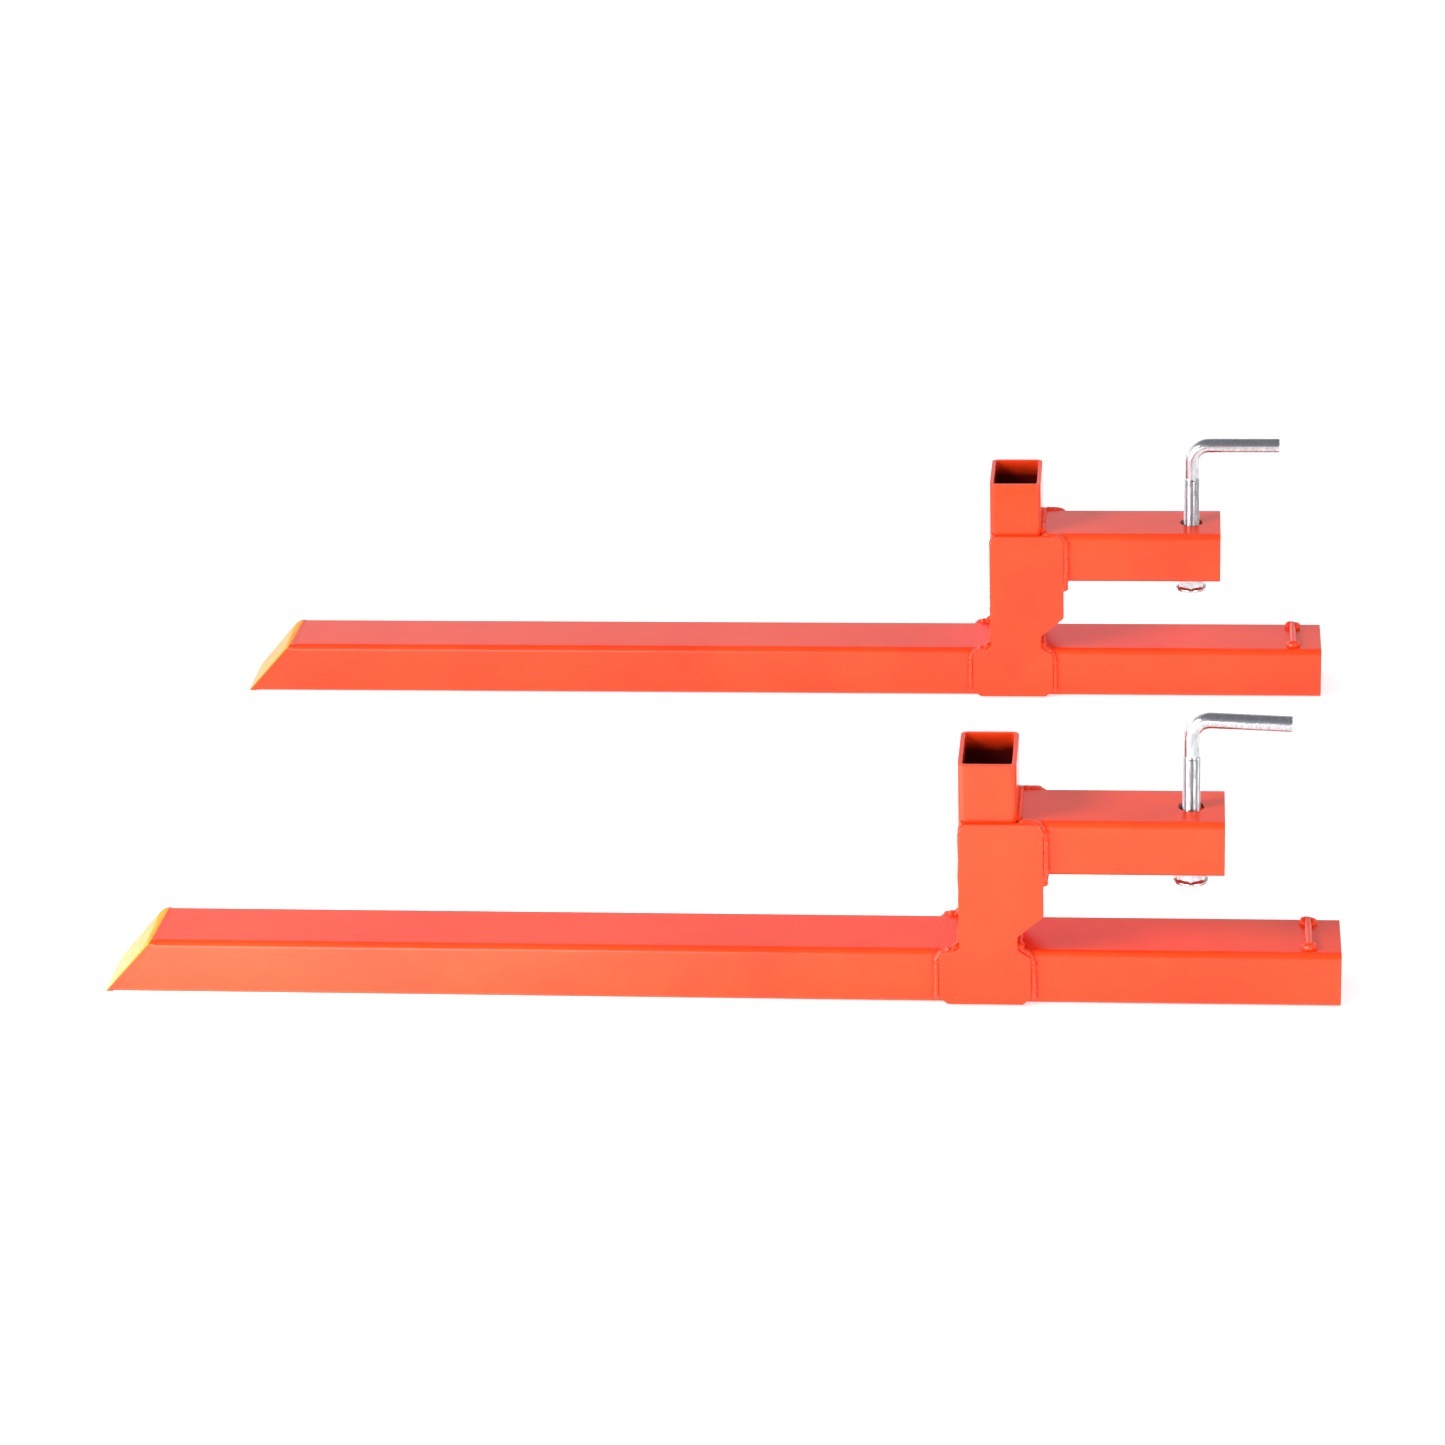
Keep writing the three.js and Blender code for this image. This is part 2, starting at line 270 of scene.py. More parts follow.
# ---------------------------------------------------------------------------------------------------
# Tip plates. A 5 mm steel plate closes each mitred tip. It is welded all round, and the weld is ground
# down by hand into an uneven soft edge; its corners stay squarer than the tube's. After coating, its
# face is brushed with amber-yellow marking paint, down over the ground edge.
# ---------------------------------------------------------------------------------------------------
TIP_CORNER = 4 * MM
GROUND_EDGE = (2.5 * MM, 5.5 * MM)  # near side, far side
GROUND_DEPTH = 0.9  # of the ground edge's width
SIDE_EASE = 0.7 * MM
AMBER = (0.93, 0.33, 0.02)
WORN_AMBER = (0.9, 0.27, 0.018)


def marking_paint(name, shine, dullest):
    """Brushed amber paint over the coat, streaky and marked by the brush. Shine is its specular level,
    and dullest is its roughness where it is thinnest."""
    material = bpy.data.materials.new(name)
    material.use_nodes = True
    tree = material.node_tree
    link = tree.links.new
    shader = tree.nodes["Principled BSDF"]
    shader.inputs["Specular IOR Level"].default_value = shine
    place = add(tree, "ShaderNodeTexCoord").outputs["Object"]
    along_brush = add(tree, "ShaderNodeMapping")
    along_brush.inputs["Scale"].default_value = (60, 14, 60)
    link(place, along_brush.inputs["Vector"])
    streak = add(tree, "ShaderNodeTexNoise", Scale=4.0, Detail=5.0, Roughness=0.6)
    link(along_brush.outputs["Vector"], streak.inputs["Vector"])
    thin = add(tree, "ShaderNodeMapRange", From_Min=0.4, From_Max=0.75)
    link(streak.outputs["Fac"], thin.inputs["Value"])
    link(between(tree, thin.outputs["Result"], AMBER, WORN_AMBER), shader.inputs["Base Color"])
    sheen = add(tree, "ShaderNodeMapRange", To_Min=0.75 * dullest, To_Max=dullest)
    link(thin.outputs["Result"], sheen.inputs["Value"])
    link(sheen.outputs["Result"], shader.inputs["Roughness"])
    marks = add(tree, "ShaderNodeBump", Strength=0.25, Distance=0.0001)
    link(streak.outputs["Fac"], marks.inputs["Height"])
    link(marks.outputs["Normal"], shader.inputs["Normal"])
    return material


tip_paint = marking_paint("yellow_tip_paint", 0.45, 0.5)
edge_paint = marking_paint("yellow_edge_paint", 0.08, 0.75)
for fork in FORKS:
    low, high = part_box(f"{fork}_tip_plate")
    blade_low, blade_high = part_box(f"{fork}_blade_tube")
    middle = (low.y + high.y) / 2
    width = high.y - low.y
    height = high.z - low.z
    thickness = blade_low.x - low.x  # along the fork
    run = high.x - blade_low.x
    rings = []
    for turn in (None, 0, 15, 30, 45, 60, 75, 90):  # the back, then round the ground edge
        ring = []
        for across, up in section(width, height, TIP_CORNER):
            angle = math.radians(turn or 0)
            far_share = 0.5 + across / width
            edge = GROUND_EDGE[0] + (GROUND_EDGE[1] - GROUND_EDGE[0]) * far_share
            rise = 0.5 + up / height
            z = low.z + height * rise - edge * rise * (1 - math.cos(angle))
            behind = thickness if turn is None else edge * GROUND_DEPTH * rise * (1 - math.sin(angle))
            behind = max(behind, SIDE_EASE * (1 - math.sin(angle)))
            narrowed = 1 - 2 * SIDE_EASE * (1 - math.cos(angle)) / width
            ring.append(Vector((low.x + run * (z - low.z) / height + behind, middle + across * narrowed, z)))
        rings.append(ring)
    slots = [0, 2, 2, 2, 2, 2, 2]
    plate = skin(f"{fork}_tip", rings, slots=slots, caps=(0, 1))
    paints = (coat, tip_paint, edge_paint)
    settle(plate, f"{fork}_fork", "yellow_tip_paint", [f"{fork}_tip_plate"], *paints, crease=50)

# ---------------------------------------------------------------------------------------------------
# Uprights. The same tube stood on end on each blade, saw-cut square and left open at the top, with its
# wide side across the fork. Inside, painted shade darkens the thin coat right from the rim.
# ---------------------------------------------------------------------------------------------------
# Painted shade: the upright's inside starts to darken this far above the rim.
SHADE_ABOVE_RIM = 5 * MM  # the coat's fade starts this far above the rim
for fork in FORKS:
    low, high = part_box(f"{fork}_upright_tube")
    middle = (low + high) / 2
    upright = tube(
        f"{fork}_upright",
        lambda along, across, up: Vector((middle.x + up, middle.y + across, along)),
        low.z - BUTT,
        high.z,
        high.y - low.y,
        high.x - low.x,
    )
    inside = orange_coat(f"{fork}_upright_inside", reach=("Z", high.z + SHADE_ABOVE_RIM, high.z - COAT_REACH))
    settle(upright, f"{fork}_fork", "orange_powder_coat", [f"{fork}_upright_tube"], coat, inside)

# ---------------------------------------------------------------------------------------------------
# Clamp arms. A short length of the same tube runs rearwards from each upright, open at the rear. It is
# drilled through for the screw: a wide hole in the top wall and a close one below.
# ---------------------------------------------------------------------------------------------------
TOP_HOLE = 22 * MM
BOTTOM_HOLE = 17.6 * MM
HOLE_SIDES = 64


def drill(target, x, y, z, direction, diameter):
    """Cuts a round hole through one wall, whose face is at height z. Direction is 1 for a wall that faces
    up and -1 for one that faces down. The hole's mouth is eased like any cut edge."""
    rings = []
    for height, radius in (
        (z + direction * 2 * TUBE_WALL, diameter / 2 + CUT_EDGE),
        (z, diameter / 2 + CUT_EDGE),
        (z - direction * CUT_EDGE, diameter / 2),
        (z - direction * 2 * TUBE_WALL, diameter / 2),
    ):
        angles = [2 * math.pi * k / HOLE_SIDES for k in range(HOLE_SIDES)]
        rings.append([Vector((x + radius * math.cos(a), y + radius * math.sin(a), height)) for a in angles])
    # The drilled wall takes material 1, the tube's inside, and so carries the inside's painted shade.
    cutter = skin("cutter", rings, slots=[1, 0, 1], caps=(1, 1))
    for material in target.data.materials:
        cutter.data.materials.append(material)
    cut = target.modifiers.new("hole", "BOOLEAN")
    cut.operation = "DIFFERENCE"
    cut.solver = "EXACT"
    cut.object = cutter
    evaluated = target.evaluated_get(bpy.context.evaluated_depsgraph_get())
    drilled = bpy.data.meshes.new_from_object(evaluated)
    target.modifiers.remove(cut)
    target.data = drilled
    bpy.data.objects.remove(cutter)


for fork in FORKS:
    low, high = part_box(f"{fork}_clamp_arm")
    middle = (low + high) / 2
    foot_low, foot_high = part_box(f"{fork}_pressure_foot")
    screw_x = (foot_low.x + foot_high.x) / 2
    arm = tube(
        f"{fork}_arm",
        lambda along, across, up: Vector((along, middle.y + across, middle.z + up)),
        low.x - BUTT,
        high.x,
        high.y - low.y,
        high.z - low.z,
    )
    inside = orange_coat(f"{fork}_arm_inside", reach=("X", high.x, high.x - 2 * COAT_REACH))
    arm.data.materials.append(coat)
    arm.data.materials.append(inside)
    drill(arm, screw_x, middle.y, high.z, 1, TOP_HOLE)
    drill(arm, screw_x, middle.y, low.z, -1, BOTTOM_HOLE)
    settle(arm, f"{fork}_fork", "orange_powder_coat", [f"{fork}_clamp_arm"])

# ---------------------------------------------------------------------------------------------------
# Gusset plates. A steel plate on each side of a fork, cut to one outline that covers the upright's side
# and reaches onto the blade and the arm. Its corners and edges are eased before it is welded on.
# ---------------------------------------------------------------------------------------------------
SHOULDER = 3 * MM  # the foot's top edge above the blade
NECK = 12.8 * MM
SLOPE = 19.5 * MM
CHAMFER = 7 * MM
HEEL = 11.5 * MM  # the foot runs on this far behind the upright
PLATE_CORNER = 3.5 * MM
PLATE_EDGE = 0.8 * MM


def eased(outline, radius, steps=5):
    """The outline with each corner turned into a short curve."""
    curve = []
    for k, corner in enumerate(outline):
        before = outline[k - 1] - corner
        after = outline[(k + 1) % len(outline)] - corner
        half = before.angle(after) / 2
        cut = min(radius / math.tan(half), 0.45 * before.length, 0.45 * after.length)
        start = corner + before.normalized() * cut
        end = corner + after.normalized() * cut
        for step in range(steps + 1):
            t = step / steps
            curve.append(start * (1 - t) ** 2 + corner * 2 * t * (1 - t) + end * t**2)
    return curve


for fork in FORKS:
    blade_low, blade_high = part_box(f"{fork}_blade_tube")
    upright_low, upright_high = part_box(f"{fork}_upright_tube")
    for which in ("outer", "inner"):
        node = f"{fork}_{which}_gusset"
        low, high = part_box(node)
        front = upright_low.x
        neck = upright_high.x
        shoulder = blade_high.z + SHOULDER
        rear = high.x
        heel = neck + HEEL
        corners = [
            (low.x + CHAMFER, low.z),
            (heel - CHAMFER, low.z),
            (heel, low.z + CHAMFER),
            (heel, shoulder - CHAMFER),
            (neck, shoulder),
            (neck, shoulder + NECK),
            (rear, shoulder + NECK + SLOPE),
            (rear, high.z - CHAMFER),
            (rear - 0.6 * CHAMFER, high.z),
            (front + CHAMFER, high.z),
            (front, high.z - CHAMFER),
            (front, shoulder),
            (low.x, shoulder - 0.4 * CHAMFER),
            (low.x, low.z + CHAMFER),
        ]
        outline = eased([Vector(corner) for corner in corners], PLATE_CORNER)
        built = bmesh.new()
        base = built.faces.new([built.verts.new((x, low.y, z)) for x, z in outline])
        grown = bmesh.ops.extrude_face_region(built, geom=[base])
        moved = [item for item in grown["geom"] if isinstance(item, bmesh.types.BMVert)]
        bmesh.ops.translate(built, verts=moved, vec=(0, high.y - low.y, 0))
        rim = [e for e in built.edges if abs(e.verts[0].co.y - e.verts[1].co.y) < 1e-6]
        bmesh.ops.bevel(built, geom=rim, offset=PLATE_EDGE, segments=3, profile=0.5, affect="EDGES")
        bmesh.ops.recalc_face_normals(built, faces=built.faces)
        mesh = bpy.data.meshes.new(f"{fork}_{which}_plate")
        built.to_mesh(mesh)
        built.free()
        plate = bpy.data.objects.new(f"{fork}_{which}_plate", mesh)
        bpy.context.scene.collection.objects.link(plate)
        settle(plate, f"{fork}_fork", "orange_powder_coat", [node], coat)

# ---------------------------------------------------------------------------------------------------
# Weld beads. Hand-laid fillet welds tie the plates to the tubes and the tubes to each other: rippled
# runs a few millimetres wide, lumpy where they start, and coated with everything else.
# ---------------------------------------------------------------------------------------------------
RIPPLE = 2.3 * MM  # from one ripple to the next
RIPPLE_DEPTH = 0.15  # this and the next three are shares of the bead's radius
SWELL_DEPTH = 0.18
GRAIN_DEPTH = 0.18
SWAY = 0.08
LUMP_REACH = 0.8  # a starting or closing lump's half length, in radii
KNOT_REACH = 0.55
BEAD_STEP = 0.55 * MM
BEAD_SIDES = 16


def smoothed(path, rounds=3):
    """The path with its corners cut back, its two ends kept."""
    for _ in range(rounds):
        cut = [path[0]]
        for a, b in zip(path, path[1:]):
            cut.append(a.lerp(b, 0.25))
            cut.append(a.lerp(b, 0.75))
        cut.append(path[-1])
        path = cut
    return path


def stations(path, step):
    """Points at an even step along the path."""
    points = [path[0].copy()]
    carried = 0.0
    for a, b in zip(path, path[1:]):
        length = (b - a).length
        at = step - carried
        while at <= length and length > 0:
            points.append(a.lerp(b, at / length))
            at += step
        carried = (carried + length) % step
    return points


def bead(name, fork, path, radius, crown, seed, start_lump=0.35, end_lump=0.15, knots=()):
    """A run of weld along the path, with its crown turned the given way. The lumps swell its two ends by
    a share of the radius. Knots are the shares of the run where the welder stopped and started again."""
    points = stations(smoothed([Vector(p) for p in path]), BEAD_STEP)
    total = (len(points) - 1) * BEAD_STEP
    crown = Vector(crown).normalized()
    rings = []
    for k, point in enumerate(points):
        ahead = (points[min(k + 1, len(points) - 1)] - points[max(k - 1, 0)]).normalized()
        out = (crown - ahead * crown.dot(ahead)).normalized()
        across = ahead.cross(out)
        at = k * BEAD_STEP
        from_end = min(at, total - at)
        dome = math.sqrt(max(1 - (1 - min(from_end / radius, 1)) ** 2, 0.02))
        lump = start_lump * math.exp(-(((at - radius) / (LUMP_REACH * radius)) ** 2))
        lump += 0.35 * max(noise.noise(Vector((at * 110, seed * 5.9, 3.4))) - 0.25, 0)
        for share in knots:
            off = (at - share * total) / (KNOT_REACH * radius)
            lump += 0.4 * math.exp(-(off**2)) - 0.15 * math.exp(-((off - 2.2) ** 2))
        lump += end_lump * math.exp(-(((total - at - radius) / (LUMP_REACH * radius)) ** 2))
        swell = noise.noise(Vector((at * 90, seed * 7.3, 0.5)))
        sway = SWAY * radius * noise.noise(Vector((at * 140, seed * 3.1, 8.2)))
        centre = point + across * sway
        ring = []
        for side in range(BEAD_SIDES):
            angle = 2 * math.pi * side / BEAD_SIDES
            facing = math.cos(angle)
            ripple = abs(math.sin(math.pi * (at / RIPPLE + 0.32 * facing))) - 0.6
            grain = noise.noise(Vector((at * 700, angle * 1.3 + seed, seed * 1.7)))
            uneven = RIPPLE_DEPTH * ripple + SWELL_DEPTH * swell + GRAIN_DEPTH * grain
            size = radius * dome * (1 + uneven + lump)
            ring.append(centre + out * (size * facing) + across * (size * math.sin(angle)))
        rings.append(ring)
    run = skin(name, rings)
    settle(run, f"{fork}_fork", "orange_powder_coat", [], coat, crease=75)


for number, fork in enumerate(FORKS):
    blade_low, blade_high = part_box(f"{fork}_blade_tube")
    upright_low, upright_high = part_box(f"{fork}_upright_tube")
    arm_low, arm_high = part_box(f"{fork}_clamp_arm")
    plate_low, plate_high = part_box(f"{fork}_outer_gusset")
    middle = (blade_low.y + blade_high.y) / 2
    half = (blade_high.y - blade_low.y) / 2
    front = upright_low.x
    back = upright_high.x
    deck = blade_high.z
    heel = back + HEEL
    for hand, side in (("near", -1), ("far", 1)):
        seed = 10 * number + 3 * side + 4
        face = middle + side * (half + 0.9 * MM)
        groove = middle + side * (half - 1.2 * MM)
        bead(
            f"{fork}_weld_arm_{hand}",
            fork,
            [
                (back + 1.5 * MM, groove, arm_high.z - 1.2 * MM),
                (plate_high.x - 6 * MM, groove, arm_high.z - 1.4 * MM),
                (plate_high.x - 1 * MM, face - side * 0.6 * MM, arm_high.z - 5 * MM),
                (plate_high.x + 1.7 * MM, face, arm_high.z - 11 * MM),
                (plate_high.x + 1.9 * MM, face, arm_low.z + 6 * MM),
                (plate_high.x + 0.8 * MM, face + side * 0.6 * MM, arm_low.z - 1 * MM),
                (plate_high.x + 0.2 * MM, face + side * 1.2 * MM, arm_low.z - 9 * MM),
            ],
            3.3 * MM,
            (0.6, side, 0.25),
            seed,
            start_lump=0.1,
            knots=(0.34,),
        )
        bead(
            f"{fork}_weld_upright_{hand}",
            fork,
            [
                (front + 6 * MM, middle + side * (half - 0.2 * MM), arm_high.z + 0.6 * MM),
                (front + 1.6 * MM, groove, arm_high.z - 5 * MM),
                (front + 1.4 * MM, groove, arm_high.z - 16 * MM),
                (front + 1.4 * MM, groove, deck + 8 * MM),
            ],
            2.3 * MM,
            (-1, side, 0),
            seed + 1,
            start_lump=0.5,
        )
        bead(
            f"{fork}_weld_toe_{hand}",
            fork,
            [
                (front - 1.5 * MM, groove, deck + 7 * MM),
                (front - 2.5 * MM, groove, deck + 1.5 * MM),
                (front - 9 * MM, groove, deck - 0.4 * MM),
                (plate_low.x + 2 * MM, middle + side * (half - 0.4 * MM), deck - 2 * MM),
                (plate_low.x - 2.2 * MM, face, deck - 7 * MM),
                (plate_low.x - 2.2 * MM, face, blade_low.z + 5 * MM),
            ],
            3.1 * MM,
            (-0.7, side, 0.5),
            seed + 2,
            start_lump=0.5,
            knots=(0.2, 0.42),
        )
        bead(
            f"{fork}_weld_heel_{hand}",
            fork,
            [
                (back + 1.2 * MM, groove, deck + 9 * MM),
                (back + 1.6 * MM, groove, deck + 1.5 * MM),
                (heel - 3 * MM, middle + side * (half - 0.6 * MM), deck - 1.5 * MM),
                (heel + 1.8 * MM, face, deck - 7 * MM),
                (heel + 1.8 * MM, face, blade_low.z + 5 * MM),
            ],
            3.1 * MM,
            (0.7, side, 0.5),
            seed + 3,
            start_lump=0.4,
            knots=(0.45,),
        )
    span = half - 5 * MM
    for where, x, z, crown in (
        ("front", front - 0.6 * MM, deck + 0.8 * MM, (-1, 0, 1)),
        ("rear", back + 0.6 * MM, deck + 0.8 * MM, (1, 0, 1)),
        ("arm_top", back + 0.8 * MM, arm_high.z + 0.6 * MM, (1, 0, 1)),
        ("arm_under", back + 0.8 * MM, arm_low.z - 0.6 * MM, (1, 0, -1)),
    ):
        bead(
            f"{fork}_weld_{where}",
            fork,
            [(x, middle - span, z), (x, middle + span, z)],
            2.9 * MM,
            crown,
            20 + 10 * number + x * 30,
        )

# ---------------------------------------------------------------------------------------------------
# Grip bars. A short length of 6 mm round steel bar lies across each blade near the tail, to stop the
# bucket's edge creeping. Each end is tacked down with a blob of weld wider than the bar.
# ---------------------------------------------------------------------------------------------------
BAR_SIDES = 28
for number, fork in enumerate(FORKS):
    low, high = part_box(f"{fork}_grip_bar")
    middle = (low + high) / 2
    radius = (high.z - low.z) / 2
    rings = []
    for y, share in (
        (low.y, 0.8),
        (low.y + 0.5 * MM, 0.95),
        (low.y + 1.2 * MM, 1),
        (high.y - 1.2 * MM, 1),
        (high.y - 0.5 * MM, 0.95),
        (high.y, 0.8),
    ):
        ring = []
        for k in range(BAR_SIDES):
            angle = 2 * math.pi * k / BAR_SIDES
            out = share * radius
            ring.append(Vector((middle.x + out * math.cos(angle), y, middle.z + out * math.sin(angle))))
        rings.append(ring)
    bar = skin(f"{fork}_bar", rings)
    settle(bar, f"{fork}_fork", "orange_powder_coat", [f"{fork}_grip_bar"], coat)
    for hand, y, inward, past, aside in (
        ("near", low.y, 1, 3.5 * MM, 2.9 * MM),
        ("far", high.y, -1, 1 * MM, 3.8 * MM),
    ):
        seed = 50 + 7 * number + 3 * inward
        bead(
            f"{fork}_weld_bar_{hand}",
            fork,
            [
                (middle.x - aside, y + inward * 6 * MM, low.z + 0.4 * MM),
                (middle.x - aside, y + inward * 1 * MM, low.z + 1.2 * MM),
                (middle.x, y - inward * past, low.z + 2.6 * MM),
                (middle.x + aside, y + inward * 1 * MM, low.z + 1.2 * MM),
                (middle.x + aside, y + inward * 8 * MM, low.z + 0.4 * MM),
            ],
            2.9 * MM,
            (0, 0, 1),
            seed,
            start_lump=0.3,
            end_lump=0.3,
            knots=(0.3, 0.72),
        )

# ---------------------------------------------------------------------------------------------------
# Clamp nuts. A plain steel hexagon nut is welded inside each arm under the screw's hole, on the bottom
# wall, and coated with the arm. Its thread is what drives the screw down.
# ---------------------------------------------------------------------------------------------------
NUT_FLATS = 24 * MM
NUT_FACE = 0.96 * NUT_FLATS  # across the flat face inside the chamfer
NUT_BORE = 16.6 * MM
NUT_BORE_EDGE = 0.8 * MM
HEX_SIDES = 72


def hexagon_radius(angle, flats):
    """From the middle to the side of a hexagon whose corners point across the fork."""
    turned = (angle - math.radians(90)) % math.radians(60)
    return flats / 2 / math.cos(turned - math.radians(30))


def hexagon_ring(x, y, z, flats, limit):
    """A ring at height z: the hexagon's outline, no further out than limit."""
    ring = []
    for k in range(HEX_SIDES):
        angle = 2 * math.pi * k / HEX_SIDES
        radius = min(hexagon_radius(angle, flats), limit)
        ring.append(Vector((x + radius * math.cos(angle), y + radius * math.sin(angle), z)))
    return ring


for fork in FORKS:
    low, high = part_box(f"{fork}_clamp_nut")
    middle = (low + high) / 2
    corner = NUT_FLATS / math.sqrt(3)
    rings = []
    for z, limit in (
        (low.z, NUT_FACE / 2),
        (low.z + 0.6 * MM, NUT_FLATS / 2 + 0.4 * MM),
        (low.z + 1.5 * MM, corner),
        (high.z - 1.5 * MM, corner),
        (high.z - 0.6 * MM, NUT_FLATS / 2 + 0.4 * MM),
        (high.z, NUT_FACE / 2),
        (high.z, NUT_BORE / 2 + NUT_BORE_EDGE),
        (high.z - NUT_BORE_EDGE, NUT_BORE / 2),
        (low.z + NUT_BORE_EDGE, NUT_BORE / 2),
        (low.z, NUT_BORE / 2 + NUT_BORE_EDGE),
    ):
        rings.append(hexagon_ring(middle.x, middle.y, z, NUT_FLATS, limit))
    nut = skin(f"{fork}_nut", rings, closed=True)
    settle(nut, f"{fork}_fork", "orange_powder_coat", [f"{fork}_clamp_nut"], coat, crease=25)

# ---------------------------------------------------------------------------------------------------
# Clamp screws. A zinc-plated steel bar with a long fine thread; the plain end above the thread is bent
# over as a handle and cut off square. Below, a turned nose is peened over inside the foot.
# ---------------------------------------------------------------------------------------------------
PITCH = 2 * MM
THREAD = 15.7 * MM
ROOT = 13.5 * MM
ROD = 14.2 * MM
BEND = 17 * MM  # centre-line radius
HANDLE_REACH = 86.5 * MM
HANDLE_RISE = 32.5 * MM  # the handle's axis above the thread
HANDLE_TURN = {"left": -6, "right": 0}
NOSE = 9.6 * MM
NOSE_HEAD = 2.6 * MM  # the peened head's height
NOSE_HEAD_RADIUS = 6.5 * MM
SCREW_SIDES = 40
ROWS_A_TURN = 8
ZINC = (0.68, 0.68, 0.69)
DULL_ZINC = (0.42, 0.42, 0.43)


def zinc_plate(name, streaks):
    """Bright zinc plate with cloudy dull patches. Streaks is the clouds' scale along each axis."""
    material = bpy.data.materials.new(name)
    material.use_nodes = True
    tree = material.node_tree
    link = tree.links.new
    shader = tree.nodes["Principled BSDF"]
    shader.inputs["Metallic"].default_value = 1.0
    place = add(tree, "ShaderNodeTexCoord").outputs["Object"]
    stretch = add(tree, "ShaderNodeMapping")
    stretch.inputs["Scale"].default_value = streaks
    link(place, stretch.inputs["Vector"])

    cloud = add(tree, "ShaderNodeTexNoise", Scale=1.0, Detail=6.0, Roughness=0.7)
    link(stretch.outputs["Vector"], cloud.inputs["Vector"])
    patch = add(tree, "ShaderNodeMapRange", From_Min=0.38, From_Max=0.64)
    link(cloud.outputs["Fac"], patch.inputs["Value"])
    link(between(tree, patch.outputs["Result"], ZINC, DULL_ZINC), shader.inputs["Base Color"])
    gloss = add(tree, "ShaderNodeMapRange", To_Min=0.1, To_Max=0.3)
    link(patch.outputs["Result"], gloss.inputs["Value"])
    link(gloss.outputs["Result"], shader.inputs["Roughness"])

    pits = add(tree, "ShaderNodeTexNoise", Scale=900.0, Detail=3.0, Roughness=0.6)
    link(place, pits.inputs["Vector"])
    grain = add(tree, "ShaderNodeBump", Strength=0.35, Distance=0.0001)
    link(pits.outputs["Fac"], grain.inputs["Height"])
    link(grain.outputs["Normal"], shader.inputs["Normal"])
    return material


bright_zinc = zinc_plate("zinc_on_screw", (330, 330, 90))
for fork in FORKS:
    low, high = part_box(f"{fork}_clamp_screw")
    foot_low, foot_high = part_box(f"{fork}_pressure_foot")
    axis = Vector(((foot_low.x + foot_high.x) / 2, (foot_low.y + foot_high.y) / 2, 0))
    handle_z = high.z - ROD / 2
    thread_top = handle_z - HANDLE_RISE
    neck_top = foot_high.z + 0.45 * MM

    # The nose, from its head up to the neck, and then the thread's rows, each with the ridge wound on.
    rings = []
    for z, radius in (
        (low.z, NOSE_HEAD_RADIUS - 0.8 * MM),
        (low.z + 0.4 * MM, NOSE_HEAD_RADIUS - 0.3 * MM),
        (low.z + 0.8 * MM, NOSE_HEAD_RADIUS),
        (low.z + NOSE_HEAD - 0.8 * MM, NOSE_HEAD_RADIUS),
        (low.z + NOSE_HEAD, NOSE / 2),
        (neck_top, NOSE / 2),
    ):
        ring = []
        for k in range(SCREW_SIDES):
            angle = 2 * math.pi * k / SCREW_SIDES
            ring.append(Vector((radius * math.cos(angle), radius * math.sin(angle), z)))
        rings.append(ring)
    rows = int((thread_top - neck_top) / PITCH * ROWS_A_TURN)
    for row in range(rows + 1):
        z = neck_top + 0.05 * MM + (thread_top - neck_top - 0.05 * MM) * row / rows
        lead = min((z - neck_top) / (1 * MM), 1)
        runout = min((thread_top - z) / (3 * MM), 1)
        ring = []
        for k in range(SCREW_SIDES):
            angle = 2 * math.pi * k / SCREW_SIDES
            wind = (z / PITCH - k / SCREW_SIDES) % 1
            ridge = 1 - abs(2 * wind - 1)
            crest = min(1.25 * ridge, 1)
            wound = ROOT / 2 + (THREAD - ROOT) / 2 * crest
            radius = NOSE / 2 + (wound - NOSE / 2) * lead
            radius = ROD / 2 + (radius - ROD / 2) * runout
            ring.append(Vector((radius * math.cos(angle), radius * math.sin(angle), z)))
        rings.append(ring)

    # Plain rod, round the bend and out to the cut end, as (out, up, turn of the section, radius).
    line = [(0.0, thread_top + 1 * MM, 0.0, ROD / 2), (0.0, handle_z - BEND, 0.0, ROD / 2)]
    for step in range(1, 17):
        turn = math.radians(90 * step / 16)
        out = BEND * (1 - math.cos(turn))
        up = handle_z - BEND + BEND * math.sin(turn)
        line.append((out, up, turn, ROD / 2))
    quarter = math.radians(90)
    line.append((HANDLE_REACH - 0.8 * MM, handle_z, quarter, ROD / 2))
    line.append((HANDLE_REACH - 0.3 * MM, handle_z, quarter, ROD / 2 - 0.25 * MM))
    line.append((HANDLE_REACH, handle_z, quarter, ROD / 2 - 0.8 * MM))
    for out, up, turn, radius in line:
        ring = []
        for k in range(SCREW_SIDES):
            angle = 2 * math.pi * k / SCREW_SIDES
            flat = radius * math.cos(angle)
            ring.append(
                Vector((out + flat * math.cos(turn), radius * math.sin(angle), up - flat * math.sin(turn)))
            )
        rings.append(ring)
    turned = Matrix.Rotation(math.radians(HANDLE_TURN[fork]), 3, "Z")
    rings = [[turned @ point + axis for point in ring] for ring in rings]
    screw = skin(f"{fork}_screw", rings)
    settle(screw, f"{fork}_screw", "zinc_plate", [f"{fork}_clamp_screw"], bright_zinc, crease=60)

